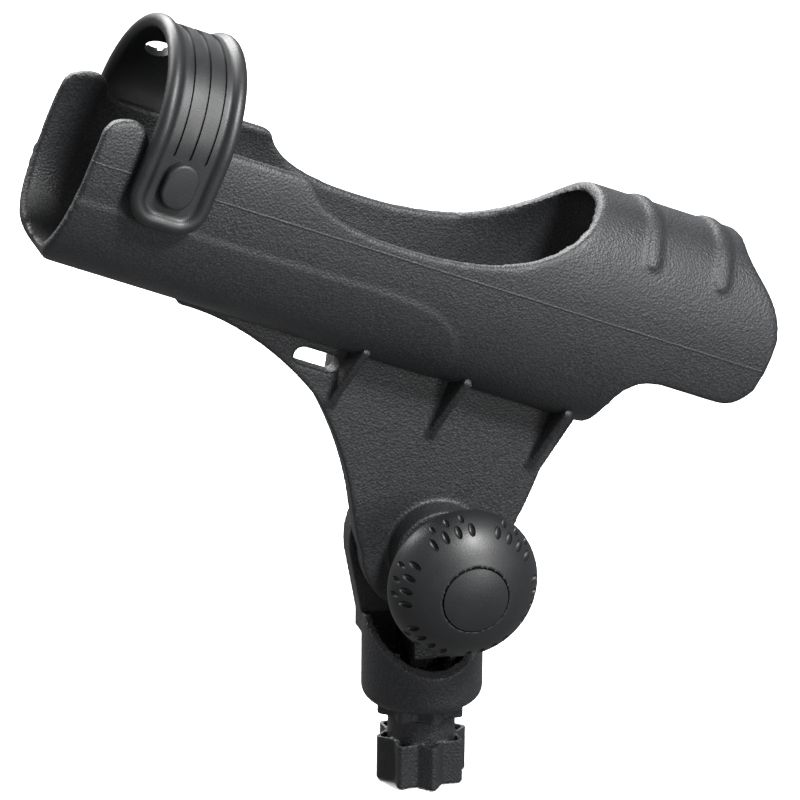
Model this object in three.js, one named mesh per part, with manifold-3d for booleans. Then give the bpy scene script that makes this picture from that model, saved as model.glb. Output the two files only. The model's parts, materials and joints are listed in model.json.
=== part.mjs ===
// A tilting rod holder for a boat rail or deck: a tall oval rod tube on a flat web, clamped by a
// hand knob against a toothed ear on a round base, over a star-shaped spigot that drops into a
// deck port. Millimetres, +Z up, origin at the middle of the spigot's foot. The tube's open end
// points to -X, and the knob to -Y.
import * as THREE from "three";
import { mergeVertices } from "three/addons/utils/BufferGeometryUtils.js";
import Module from "manifold-3d";

const wasm = await Module();
wasm.setup();

// ---- driving dimensions ----
const GAP = 0.3; // running gap between neighbouring pieces
const RAD = Math.PI / 180;

const tube = {
  tilt: 23, // the tube's nose-up angle, degrees
  origin: [5, 201.2], // X and Z of the point on its axis that along = 0 means
  halfWidth: 29.5,
  up: 39, // height of the section above its widest line
  down: 43.5, // depth of the section below it
  wall: 4.2,
  front: -145,
  rear: 125,
};
const web = { near: -6, far: 1.5 }; // the two faces of the web, in Y
const hinge = { x: 2, z: 91, hubRadius: 26.5, bossRadius: 17, bossFace: -16 };
const teeth = { count: 24, inner: 17, outer: 23.5, width: 1.9, root: 15, depth: 1.5 };
const ear = { near: 3.5, far: 12, radius: 28.5, bossRadius: 11, bossFace: 17 };
const bolt = { radius: 4, headAcross: 13, headFrom: 11.3, headTo: 16.5, end: -52.5 };
const spring = { radius: 11.3, wire: 0.6, turns: 3.5, from: -2.1, to: 7.1, pocketRadius: 12.9 };
const knob = { radius: 27.4, rim: -39, dome: 19, capRadius: 12, stemRadius: 15.5, wall: 3 };
const collar = { radius: 21.8, bottom: 31, shoulder: 64, wall: 3, floor: 38.5 };
const star = { tip: 16.5, valley: 12.65, lobes: 8, height: 16.45, ringBottom: 25.3 };
const bail = { along: -115, pivotUp: 2.5, width: 30, plate: 4.5, legDown: 17.5, crown: 41.1 };
const pin = { radius: 5, headWide: 12, headTall: 16.6 };

// ---- materials ----
const plastic = (color, roughness) => new THREE.MeshStandardMaterial({ color, roughness, metalness: 0 });
const metal = (color, roughness) => new THREE.MeshStandardMaterial({ color, roughness, metalness: 1 });
const filledNylon = plastic(0x2b2c2e, 0.62);
const smoothNylon = plastic(0x232426, 0.42);
const acetal = plastic(0x3a3b3d, 0.5);
const stainless = metal(0xb8babd, 0.3);
const brass = metal(0xb08d4c, 0.35);

// ---- solids from three.js geometry ----
function solid(geometry, matrix) {
  const bare = geometry.clone();
  bare.deleteAttribute("normal");
  bare.deleteAttribute("uv");
  if (matrix) bare.applyMatrix4(matrix);
  const merged = mergeVertices(bare, 1e-4);
  const vertProperties = new Float32Array(merged.attributes.position.array);
  const triVerts = new Uint32Array(merged.index.array);
  const made = new wasm.Manifold(new wasm.Mesh({ numProp: 3, vertProperties, triVerts }));
  if (made.volume() > 0) return made;
  for (let i = 0; i < triVerts.length; i += 3)
    [triVerts[i + 1], triVerts[i + 2]] = [triVerts[i + 2], triVerts[i + 1]];
  return new wasm.Manifold(new wasm.Mesh({ numProp: 3, vertProperties, triVerts }));
}
const join = (...parts) => parts.reduce((all, part) => all.add(part));
const cut = (body, ...tools) => tools.reduce((left, tool) => left.subtract(tool), body);
// The largest body of a cut solid, without the crumbs that meeting edges can leave.
const largest = (body) => body.decompose().sort((a, b) => b.volume() - a.volume())[0];

// A frame whose local x, y and z lie along the given directions.
function frame(x, y, z, at = [0, 0, 0]) {
  const v = (a) => new THREE.Vector3(...a);
  return new THREE.Matrix4().makeBasis(v(x), v(y), v(z)).setPosition(...at);
}

function extruded(shape, depth, matrix, curveSegments = 12) {
  const options = { depth, bevelEnabled: false, curveSegments };
  return solid(new THREE.ExtrudeGeometry(shape, options), matrix);
}

// An outline in X and Z, extruded in Y from one face to the other.
const plateXZ = (shape, fromY, toY, segments) =>
  extruded(shape, toY - fromY, frame([1, 0, 0], [0, 0, 1], [0, -1, 0], [0, toY, 0]), segments);

// A profile of [radius, height] points turned about Z, or about the hinge's Y axis.
function lathe(points, segments, matrix) {
  const closed = points.map(([r, h]) => new THREE.Vector2(r, h));
  if (closed[0].x > 0 || closed.at(-1).x > 0) closed.push(closed[0].clone());
  return solid(new THREE.LatheGeometry(closed, segments), matrix);
}
const aboutZ = frame([1, 0, 0], [0, 0, 1], [0, -1, 0]);
const aboutHinge = frame([1, 0, 0], [0, 1, 0], [0, 0, 1], [hinge.x, 0, hinge.z]);
const discZ = (r, from, to, n = 40) => lathe([[0, from], [r, from], [r, to], [0, to]], n, aboutZ);
const discHinge = (r, from, to, n = 36) => lathe([[0, from], [r, from], [r, to], [0, to]], n, aboutHinge);
const ringHinge = (inner, outer, from, to, n = 36) =>
  lathe([[inner, from], [outer, from], [outer, to], [inner, to]], n, aboutHinge);

function box(low, high) {
  const size = low.map((v, i) => high[i] - v);
  const middle = low.map((v, i) => (high[i] + v) / 2);
  return solid(new THREE.BoxGeometry(...size), new THREE.Matrix4().setPosition(...middle));
}

function hexagon(across) {
  const points = Array.from({ length: 6 }, (_, i) => {
    const a = (i * 60 + 30) * RAD;
    const r = across / 2 / Math.cos(30 * RAD);
    return new THREE.Vector2(r * Math.cos(a), r * Math.sin(a));
  });
  return new THREE.Shape(points);
}
const hexHinge = (across, from, to) =>
  extruded(hexagon(across), to - from, frame([1, 0, 0], [0, 0, 1], [0, -1, 0], [hinge.x, to, hinge.z]));

// ---- the scene graph ----
const holder = new THREE.Group();
function addPiece(name, body, material) {
  const mesh = body.getMesh();
  const geometry = new THREE.BufferGeometry();
  geometry.setAttribute("position", new THREE.BufferAttribute(new Float32Array(mesh.vertProperties), 3));
  geometry.setIndex(new THREE.BufferAttribute(new Uint32Array(mesh.triVerts), 1));
  geometry.computeVertexNormals();
  const piece = new THREE.Mesh(geometry, material);
  piece.name = name;
  holder.add(piece);
}

// ---- the tube's own frame: u along it to the rear, Y across, w up from its widest line ----
const cosT = Math.cos(tube.tilt * RAD);
const sinT = Math.sin(tube.tilt * RAD);
const alongTube = [cosT, 0, -sinT];
const upTube = [sinT, 0, cosT];
const tubeAt = (u, y, w) => [
  tube.origin[0] + u * cosT + w * sinT,
  y,
  tube.origin[1] - u * sinT + w * cosT,
];
// A side outline in (u, w), extruded in Y.
const sideOfTube = (shape, fromY, toY, segments) =>
  extruded(shape, toY - fromY, frame(alongTube, upTube, [0, -1, 0], tubeAt(0, toY, 0)), segments);

// The tube's oval section: wide at w = 0, taller below than above.
function section(inset, steps = 44) {
  const points = [];
  for (let i = 0; i < steps; i++) {
    const a = (i / steps) * 2 * Math.PI;
    const c = Math.cos(a);
    const s = Math.sin(a);
    const power = s > 0 ? 2.2 : 2.4;
    const tall = (s > 0 ? tube.up : tube.down) - inset;
    const wide = tube.halfWidth - inset;
    points.push(
      new THREE.Vector2(
        wide * Math.sign(c) * Math.abs(c) ** (2 / power),
        tall * Math.sign(s) * Math.abs(s) ** (2 / power),
      ),
    );
  }
  return new THREE.Shape(points);
}
const alongSection = (inset, from, to) =>
  extruded(section(inset), to - from, frame([0, 1, 0], upTube, alongTube, tubeAt(from, 0, 0)));

// Everything of the tube that is kept, seen from its side: ears, rims, scooped top and rear mouth.
function sideProfile() {
  const s = new THREE.Shape();
  s.moveTo(-145, -33);
  s.lineTo(-145, 9);
  s.quadraticCurveTo(-144.5, 16.5, -135, 17.2);
  s.quadraticCurveTo(-130, 17.2, -127.5, 11.5);
  s.quadraticCurveTo(-127, 10.4, -125.5, 10.4);
  s.lineTo(-102.5, 10.4);
  s.quadraticCurveTo(-100.5, 16.5, -97, 16.6);
  s.lineTo(-69.5, 16.8);
  s.quadraticCurveTo(-66.5, 16.8, -64.5, 14);
  s.quadraticCurveTo(-57, 3.4, -26, 3.2);
  s.bezierCurveTo(2, 3.4, 22, 8, 36, 22);
  s.quadraticCurveTo(46, 32, 47.5, 48);
  s.lineTo(104.5, 48);
  s.lineTo(104.5, 37);
  s.bezierCurveTo(106, 30, 121, 26, 122.2, 9);
  s.lineTo(121.4, -4);
  s.quadraticCurveTo(119.5, -16.4, 108, -16.4);
  s.lineTo(86, -16.4);
  s.quadraticCurveTo(73.5, -17.5, 72.8, -32);
  s.lineTo(72.6, -50);
  s.lineTo(-132, -50);
  s.lineTo(-132, -44.5);
  s.quadraticCurveTo(-145, -43.5, -145, -33);
  return s;
}

// The flat web with its round hub, in X and Z.
function webProfile() {
  const s = new THREE.Shape();
  const { x, z, hubRadius: r } = hinge;
  s.moveTo(-62, 183);
  s.bezierCurveTo(-42, 160, -30.5, 132, -28, 108);
  s.bezierCurveTo(-27, 101, -26.5, 97, x - r, z);
  s.absarc(x, z, r, Math.PI, 2 * Math.PI - 0.35, false);
  s.bezierCurveTo(31, 92, 35, 101, 41.5, 115.5);
  s.lineTo(56.5, 137);
  s.lineTo(66, 152);
  s.lineTo(-40, 198);
  s.closePath();
  return s;
}

// A long curved fillet plate fills the corner between the web's front edge and the belly.
function webToe() {
  const s = new THREE.Shape();
  s.moveTo(-40, 198);
  s.lineTo(-40, 150);
  s.bezierCurveTo(-50, 165, -68, 184, -92, 193);
  s.lineTo(-90, 205);
  s.closePath();
  return s;
}

function gusset(u, side) {
  const face = side < 0 ? web.near : web.far;
  const reach = side < 0 ? -19 : 19;
  const s = new THREE.Shape([
    new THREE.Vector2(face - side, -65),
    new THREE.Vector2(face + side * 0.4, -65),
    new THREE.Vector2(reach, -39),
    new THREE.Vector2(reach - side * 3, -33),
    new THREE.Vector2(face - side, -41),
  ]);
  const thick = 3.2;
  return extruded(s, thick, frame([0, 1, 0], upTube, alongTube, tubeAt(u - thick / 2, 0, 0)));
}

function lanyardSlot() {
  const s = new THREE.Shape();
  const [left, right, mid, r] = [-35, -24, -50, 3.2];
  s.absarc(left, mid, r, Math.PI / 2, 1.5 * Math.PI, false);
  s.absarc(right, mid, r, -Math.PI / 2, Math.PI / 2, false);
  s.closePath();
  return sideOfTube(s, web.near - 1, web.far + 1);
}

const ribStations = [-18.5, 21.8, 62.5];
const toothSeat = { cradle: [-1.3, 1.7], ear: [3.3, 6.3] };
const ringSeat = (from, to) => ringHinge(teeth.root - GAP, teeth.outer + 0.8, from, to);

function rodCradle() {
  const outside = sideOfTube(sideProfile(), -40, 40, 10);
  const bore = alongSection(tube.wall, tube.front - 1, tube.rear + 1);
  const wall = cut(alongSection(0, tube.front, tube.rear), bore);
  const ribs = ribStations.flatMap((u) => [gusset(u, -1), gusset(u, 1)]);
  const plate = join(
    plateXZ(webProfile(), web.near, web.far, 16),
    plateXZ(webToe(), web.near, web.far, 12),
    ...ribs,
  );
  const below = cut(plate, bore);
  const beads = [66.5, 94.5].map(topBead);
  const boss = discHinge(hinge.bossRadius, hinge.bossFace, web.near + 1);
  const pins = [-1, 1].map((side) => pinBore(side));
  return cut(
    join(wall.intersect(outside), below, boss, ...beads),
    lanyardSlot(),
    discHinge(bolt.radius + GAP, -30, 20, 32),
    discHinge(spring.pocketRadius, spring.from - GAP, 5),
    ringSeat(...toothSeat.cradle),
    ...pins,
  );
}

// A raised bead across the crown of the tube, with round ends.
function topBead(u) {
  const wide = section(-1.1);
  const half = 2.2;
  const hoop = extruded(wide, 2 * half, frame([0, 1, 0], upTube, alongTube, tubeAt(u - half, 0, 0)));
  const keep = new THREE.Shape();
  keep.moveTo(u - half, 25);
  keep.absarc(u, 25, half, Math.PI, 2 * Math.PI, false);
  keep.lineTo(u + half, 60);
  keep.lineTo(u - half, 60);
  keep.closePath();
  const crown = hoop.intersect(sideOfTube(keep, -40, 40, 6));
  return cut(crown, alongSection(tube.wall - 1, u - 10, u + 10));
}

// ---- closing bail and its two pivot pins, in the tube's frame ----
const legInner = tube.halfWidth + 0.7;

// A slab of the strap seen along the tube: two straight legs under a round crown.
const crownLine = bail.pivotUp + bail.crown - legInner;
function archSlab(inner, outer, bottom, fromU, toU) {
  const s = new THREE.Shape();
  s.moveTo(-outer, bottom);
  s.lineTo(-outer, crownLine);
  s.absarc(0, crownLine, outer, Math.PI, 0, true);
  s.lineTo(outer, bottom);
  s.lineTo(inner, bottom);
  s.lineTo(inner, crownLine);
  s.absarc(0, crownLine, inner, 0, Math.PI, false);
  s.lineTo(-inner, bottom);
  s.closePath();
  return extruded(s, toU - fromU, frame([0, 1, 0], upTube, alongTube, tubeAt(fromU, 0, 0)));
}

// Side outline of the strap with its round lower ends, in (u, w).
function strapOutline(inset) {
  const half = bail.width / 2 - inset;
  const low = bail.pivotUp - bail.legDown + inset;
  const corner = 11 - inset;
  const s = new THREE.Shape();
  s.moveTo(bail.along - half, 80);
  s.lineTo(bail.along - half, low + corner);
  s.quadraticCurveTo(bail.along - half, low, bail.along - half + corner, low);
  s.lineTo(bail.along + half - corner, low);
  s.quadraticCurveTo(bail.along + half, low, bail.along + half, low + corner);
  s.lineTo(bail.along + half, 80);
  s.closePath();
  return s;
}

function closingBail() {
  const bottom = -30;
  const [from, to] = [bail.along - bail.width / 2, bail.along + bail.width / 2];
  const bead = 4.2; // width of the thick border
  const grooveEnd = 12.4; // how far up the legs the three grooves stop
  const thick = archSlab(legInner, legInner + bail.plate + 2, bottom, from - 1, to + 1);
  const thin = archSlab(legInner + bail.plate - 0.5, legInner + bail.plate + 4, bottom, from - 1, to + 1);
  const inside = sideOfTube(strapOutline(bead), -60, 60, 5);
  const strap = cut(thick.intersect(sideOfTube(strapOutline(0), -60, 60, 5)), thin.intersect(inside));
  const grooves = [-6, 0, 6].map((offset) => {
    const u = bail.along + offset;
    const band = new THREE.Shape();
    band.moveTo(u - 0.6, grooveEnd);
    band.lineTo(u + 0.6, grooveEnd);
    band.lineTo(u + 0.6, 80);
    band.lineTo(u - 0.6, 80);
    band.closePath();
    const shell = archSlab(legInner + bail.plate - 1.3, legInner + bail.plate + 1, bottom, u - 2, u + 2);
    return shell.intersect(sideOfTube(band, -60, 60));
  });
  const pivots = [-1, 1].map((side) => pivotBore(side, pin.radius + GAP));
  return largest(cut(strap, ...grooves, ...pivots, cordHole()));
}

// The oval hole for a cord, near the crown on the far side.
function cordHole() {
  const oval = new THREE.Shape();
  oval.absellipse(0, 0, 5, 4.2, 0, 2 * Math.PI, false, 0);
  const lean = 52 * RAD; // how far the hole leans from straight up
  const forward = 2.5; // its middle, ahead of the strap's
  const out = [upTube[0] * Math.cos(lean), Math.sin(lean), upTube[2] * Math.cos(lean)];
  const side = new THREE.Vector3(...out).cross(new THREE.Vector3(...alongTube)).toArray();
  const start = tubeAt(bail.along - forward, 0, crownLine).map((v, i) => v + out[i] * (legInner - 3));
  return extruded(oval, 14, frame(alongTube, side, out, start));
}

function pinAxis(side) {
  const at = tubeAt(bail.along, 0, bail.pivotUp);
  return (y) => frame(alongTube, upTube, [0, -1, 0], [at[0], side * y, at[2]]);
}
function pinRound(side, r, fromY, toY, n = 32) {
  const disc = new THREE.Shape();
  disc.absarc(0, 0, r, 0, 2 * Math.PI, false);
  const start = side < 0 ? fromY : toY;
  return extruded(disc, toY - fromY, pinAxis(side)(start), n / 2);
}
const wallInner = tube.halfWidth - tube.wall;
const pinBore = (side) => pinRound(side, pin.radius - 1 + GAP, wallInner + 0.9, legInner + 1);
const pivotBore = (side, r) => pinRound(side, r, legInner - 2, legInner + 12);

// A push-in pin: oval head, round journal for the leg, and a shank in a blind bore in the wall.
function pivotPin(side) {
  const headFrom = legInner + bail.plate - 0.5 + GAP;
  const headTo = headFrom + 3.4;
  const oval = new THREE.Shape();
  const [rx, straight] = [pin.headWide / 2, (pin.headTall - pin.headWide) / 2];
  oval.absarc(0, straight, rx, 0, Math.PI, false);
  oval.absarc(0, -straight, rx, Math.PI, 2 * Math.PI, false);
  oval.closePath();
  const start = side < 0 ? headFrom : headTo;
  const head = extruded(oval, headTo - headFrom, pinAxis(side)(start), 12);
  const journal = pinRound(side, pin.radius, tube.halfWidth + GAP, headFrom + 1);
  const shank = pinRound(side, pin.radius - 1, wallInner + 0.9 + GAP, tube.halfWidth + 1, 24);
  return join(head, journal, shank);
}

// ---- toothed rings: the cradle's teeth drop between the ear's, half a pitch round ----
function toothRing(from, to, tipY, phase) {
  const ring = ringHinge(teeth.root, teeth.outer + 0.5, from, to);
  const all = Array.from({ length: teeth.count }, (_, i) => {
    const a = ((i + phase) / teeth.count) * 2 * Math.PI;
    const [low, high] = tipY > to ? [to - 0.3, tipY] : [tipY, from + 0.3];
    const length = teeth.outer - teeth.inner;
    const bar = new THREE.BoxGeometry(length, high - low, teeth.width);
    const turn = new THREE.Matrix4().makeRotationY(-a);
    const out = new THREE.Matrix4().setPosition(teeth.inner + length / 2, (low + high) / 2, 0);
    const at = new THREE.Matrix4().setPosition(hinge.x, 0, hinge.z);
    return solid(bar, at.multiply(turn).multiply(out));
  });
  return join(ring, ...all);
}
const cradleTeeth = () => toothRing(toothSeat.cradle[0] + GAP, 1.6, 1.6 + teeth.depth, 0);
const earTeeth = () => toothRing(3.4, toothSeat.ear[1] - GAP, 3.4 - teeth.depth, 0.5);

// ---- release spring, wound round the bolt between the hub and the ear ----
class Helix extends THREE.Curve {
  getPoint(t, target = new THREE.Vector3()) {
    const a = t * spring.turns * 2 * Math.PI;
    const [low, high] = [spring.from + spring.wire, spring.to - spring.wire];
    const y = low + (high - low) * t;
    return target.set(hinge.x + spring.radius * Math.cos(a), y, hinge.z + spring.radius * Math.sin(a));
  }
}
function releaseSpring() {
  const round = new THREE.Shape();
  round.absarc(0, 0, spring.wire, 0, 2 * Math.PI, false);
  const options = { steps: 56, extrudePath: new Helix(), curveSegments: 4, bevelEnabled: false };
  return solid(new THREE.ExtrudeGeometry(round, options));
}

// ---- bolt, washer, knob ----
const tiltBolt = () =>
  join(
    hexHinge(bolt.headAcross, bolt.headFrom, bolt.headTo),
    discHinge(bolt.radius, bolt.end, bolt.headFrom + 1, 32),
  );
const thrust = { radius: 12, thick: 1.6 };
const thrustFace = hinge.bossFace - GAP;
const thrustWasher = () =>
  ringHinge(bolt.radius + GAP, thrust.radius, thrustFace - thrust.thick, thrustFace, 40);
const stem = thrustFace - thrust.thick - GAP;
const insert = { inner: bolt.radius + GAP, outer: 6.2, from: -46, to: -30 };
const stopNut = () => cut(hexHinge(bolt.headAcross, -52.2, -49), discHinge(bolt.radius + GAP, -60, 0, 32));

function domeArc(radius, depth, fromAngle, toAngle, steps) {
  return Array.from({ length: steps + 1 }, (_, i) => {
    const a = (fromAngle + ((toAngle - fromAngle) * i) / steps) * RAD;
    return [radius * Math.cos(a), knob.rim - depth * Math.sin(a)];
  });
}
function knobShell() {
  const inside = domeArc(knob.radius - knob.wall, knob.dome - knob.wall, 0, 50, 4);
  const capEdge = Math.acos((knob.capRadius + 0.1) / knob.radius) / RAD;
  const profile = [
    [insert.outer + GAP, stem],
    [knob.stemRadius, stem],
    [knob.stemRadius, -50],
    ...inside.reverse(),
    [knob.radius - 1.6, knob.rim + 1.6],
    [knob.radius - 0.4, knob.rim + 1.2],
    ...domeArc(knob.radius, knob.dome, 0, capEdge, 7),
    [knob.capRadius + 0.1, -52.8],
    [9.2, -52.8],
    [9.2, -46.3],
    [insert.outer + GAP, -46.3],
  ];
  const ribs = Array.from({ length: 6 }, (_, i) => {
    const rib = new THREE.BoxGeometry(14, 14, 2);
    const turn = new THREE.Matrix4().makeRotationY(i * 60 * RAD);
    const out = new THREE.Matrix4().setPosition(19.5, -44, 0);
    const at = new THREE.Matrix4().setPosition(hinge.x, 0, hinge.z);
    return solid(rib, at.multiply(turn).multiply(out));
  });
  const dome = lathe([[0, knob.rim], ...domeArc(knob.radius - 1, knob.dome - 1, 0, 90, 6)], 40, aboutHinge);
  const barrel = ringHinge(knob.stemRadius - 1, knob.radius - 1.5, -60, knob.rim, 40);
  const fins = join(...ribs).intersect(dome).intersect(barrel);
  return join(lathe(profile, 40, aboutHinge), fins);
}
function knobCap() {
  const edge = Math.acos((knob.capRadius - GAP) / knob.radius) / RAD;
  const top = domeArc(knob.radius, knob.dome, edge, 90, 3);
  top[top.length - 1][0] = 0;
  const base = -52.8 - GAP;
  return lathe([[0, base], [knob.capRadius - GAP, base], ...top], 40, aboutHinge);
}
const knobInsert = () => ringHinge(insert.inner, insert.outer, insert.from, insert.to, 32);

// ---- base: collar, scooped on the knob side, with the toothed ear rising on the other ----
const scoop = { front: 46, slope: (collar.shoulder - 46) / collar.radius };
const scoopAt = (y) => collar.shoulder + scoop.slope * y;

// Half-space tools are thick plates in Y and Z, extruded along X.
function slabYZ(points, fromX = -40, toX = 40) {
  const shape = new THREE.Shape(points.map(([y, z]) => new THREE.Vector2(y, z)));
  return extruded(shape, toX - fromX, frame([0, 1, 0], [0, 0, 1], [1, 0, 0], [fromX, 0, 0]));
}

function collarBody() {
  const r = collar.radius;
  const round = 4.5;
  const profile = [[0, collar.bottom]];
  for (let i = 0; i <= 5; i++) {
    const a = (i / 5) * 90 * RAD;
    profile.push([r - round + round * Math.sin(a), collar.bottom + round * (1 - Math.cos(a))]);
  }
  profile.push([r, 92], [0, 92]);
  const column = lathe(profile, 56, aboutZ);
  const nearTop = slabYZ([
    [-40, scoopAt(-40)],
    [0, collar.shoulder],
    [ear.near, collar.shoulder],
    [ear.near, 130],
    [-40, 130],
  ]);
  const farTop = slabYZ([
    [40, 40],
    [collar.radius + 0.5, 52],
    [ear.far, 84],
    [ear.far, 130],
    [40, 130],
  ]);
  return cut(column, nearTop, farTop);
}

function earPlate() {
  const s = new THREE.Shape();
  const lean = 12 * RAD;
  s.absarc(hinge.x, hinge.z, ear.radius, -lean, Math.PI + lean, false);
  s.lineTo(-collar.radius + 0.2, 62);
  s.lineTo(-collar.radius + 0.2, 50);
  s.lineTo(collar.radius - 0.2, 50);
  s.lineTo(collar.radius - 0.2, 62);
  s.closePath();
  const inCollar = discZ(collar.radius, 40, 70, 56);
  const upper = plateXZ(s, ear.near, ear.far, 20);
  const lower = cut(upper, slabYZ([[-40, 64], [40, 64], [40, 140], [-40, 140]]));
  const top = cut(upper, slabYZ([[-40, 20], [40, 20], [40, 63], [-40, 63]]));
  return join(top, lower.intersect(inCollar));
}

function starShape(grow = 0) {
  const s = [];
  const flat = 0.8;
  for (let i = 0; i < star.lobes; i++) {
    const a = ((i / star.lobes) * 360 - 90) * RAD;
    const v = a + Math.PI / star.lobes;
    const tip = star.tip + grow;
    const side = Math.atan2(flat, tip);
    s.push(new THREE.Vector2(tip * Math.cos(a - side), tip * Math.sin(a - side)));
    s.push(new THREE.Vector2(tip * Math.cos(a + side), tip * Math.sin(a + side)));
    s.push(new THREE.Vector2((star.valley + grow) * Math.cos(v), (star.valley + grow) * Math.sin(v)));
  }
  return new THREE.Shape(s);
}
const starPrism = (from, to) =>
  extruded(starShape(), to - from, frame([1, 0, 0], [0, 1, 0], [0, 0, 1], [0, 0, from]));

const nutSlot = { halfWide: 6.9, front: -17, from: 43.3, to: 50 };
const block = { left: -6.8, right: 9.4, front: -12, top: 61 };

function baseBody() {
  const hollow = discZ(collar.radius - collar.wall, collar.floor, 90, 48);
  const nearOnly = box([-40, -40, 30], [40, ear.near - 0.01, 120]);
  const deep = box([-17.6, ear.near - 0.02, 46], [17.6, 9.5, 63.2]);
  const pocket = join(hollow.intersect(nearOnly), deep);
  const centre = box([block.left, block.front, collar.floor - 1], [block.right, 10, block.top]);
  const slot = box([-nutSlot.halfWide, nutSlot.front, nutSlot.from], [nutSlot.halfWide, 7, nutSlot.to]);
  const insideCollar = centre.intersect(discZ(collar.radius - 1, 30, 70));
  const shell = join(cut(join(collarBody(), earPlate()), pocket), insideCollar);
  const boss = discHinge(ear.bossRadius, ear.far - 1, ear.bossFace);
  return cut(
    join(shell, boss, starPrism(star.ringBottom, collar.bottom + 1)),
    slot,
    discZ(tenon.radius + GAP, 20, tenon.top + GAP, 32),
    discZ(screw.radius + GAP, 30, screw.end + GAP, 24),
    discHinge(bolt.radius + GAP, 0, 30, 32),
    hexHinge(bolt.headAcross + 2 * GAP, bolt.headFrom - GAP, 30),
    discHinge(spring.pocketRadius, 0, spring.to + GAP),
    ringSeat(...toothSeat.ear),
  );
}

// ---- spigot: star, neck and tenon in one piece, held by a screw from below into a captive nut ----
const tenon = { radius: 8, top: 34 };
const screw = { radius: 3, headRadius: 6, headTo: 7.5, headFrom: 2.5, end: 49 };
const washer = { radius: 6.6, thick: 1.2 };

function lobePocket(i) {
  const a = ((i / star.lobes) * 360 - 90) * RAD;
  const point = (r, across) =>
    new THREE.Vector2(r * Math.cos(a) - across * Math.sin(a), r * Math.sin(a) + across * Math.cos(a));
  const shape = new THREE.Shape([point(11.2, -3.6), point(14.9, -0.7), point(14.9, 0.7), point(11.2, 3.6)]);
  const wedge = extruded(shape, 11, frame([1, 0, 0], [0, 1, 0], [0, 0, 1], [0, 0, star.height - 10]));
  return cut(wedge, discZ(star.valley - 0.5, 0, 30, 48));
}
function spigotStar() {
  const neck = discZ(star.valley - 0.5, star.height - 1, star.ringBottom - GAP, 48);
  const post = discZ(tenon.radius, star.ringBottom - 1, tenon.top, 32);
  const lobes = Array.from({ length: star.lobes }, (_, i) => lobePocket(i));
  return cut(
    join(starPrism(0, star.height), neck, post),
    ...lobes,
    discZ(screw.radius + GAP, -1, 60, 24),
    discZ(washer.radius + 0.4, -1, screw.headTo + washer.thick + GAP, 32),
  );
}
const spigotScrew = () =>
  cut(
    join(
      discZ(screw.headRadius, screw.headFrom, screw.headTo, 32),
      discZ(screw.radius, screw.headTo - 1, screw.end, 24),
    ),
    extruded(hexagon(5), 4, frame([1, 0, 0], [0, 1, 0], [0, 0, 1], [0, 0, screw.headFrom - 1])),
  );
const spigotWasher = () =>
  lathe(
    [
      [screw.radius + GAP, screw.headTo + GAP / 2],
      [washer.radius, screw.headTo + GAP / 2],
      [washer.radius, screw.headTo + washer.thick],
      [screw.radius + GAP, screw.headTo + washer.thick],
    ],
    32,
    aboutZ,
  );
function spigotNut() {
  const [from, to] = [nutSlot.from + GAP, nutSlot.from + 5.3];
  const prism = extruded(hexagon(10), to - from, frame([1, 0, 0], [0, 1, 0], [0, 0, 1], [0, 0, from]));
  return cut(prism, discZ(screw.radius + GAP, 30, 60, 24));
}

// ---- assembly ----
addPiece("base_body", baseBody(), filledNylon);
addPiece("spigot_star", spigotStar(), filledNylon);
addPiece("spigot_screw", spigotScrew(), stainless);
addPiece("spigot_washer", spigotWasher(), stainless);
addPiece("spigot_nut", spigotNut(), stainless);
addPiece("ear_tooth_ring", earTeeth(), acetal);
addPiece("cradle_tooth_ring", cradleTeeth(), acetal);
addPiece("release_spring", releaseSpring(), stainless);
addPiece("tilt_bolt", tiltBolt(), stainless);
addPiece("bolt_stop_nut", stopNut(), stainless);
addPiece("thrust_washer", thrustWasher(), stainless);
addPiece("knob_shell", knobShell(), smoothNylon);
addPiece("knob_insert", knobInsert(), brass);
addPiece("knob_cap", knobCap(), smoothNylon);
addPiece("rod_cradle", rodCradle(), filledNylon);
addPiece("closing_bail", closingBail(), smoothNylon);
addPiece("bail_pivot_near", pivotPin(-1), smoothNylon);
addPiece("bail_pivot_far", pivotPin(1), smoothNylon);

export default holder;
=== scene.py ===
# %% [markdown]
# # A tilting rod holder
#
# The real object is a boat fitting in black nylon. A tall oval tube carries the rod, a strap
# called the bail closes over it, and a flat web under the tube is clamped by a hand knob against
# a toothed ear. The ear grows out of a round collar, and a star-shaped spigot drops into the deck.
#
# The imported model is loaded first. It says where everything is, and it moves at the joints. The
# pieces made here are finer versions of its nodes: each one replaces its node and rides on the
# same body.

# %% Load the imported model
import json
import math

import bmesh
import bpy
from mathutils import Matrix, Vector
from mathutils.geometry import interpolate_bezier

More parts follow.
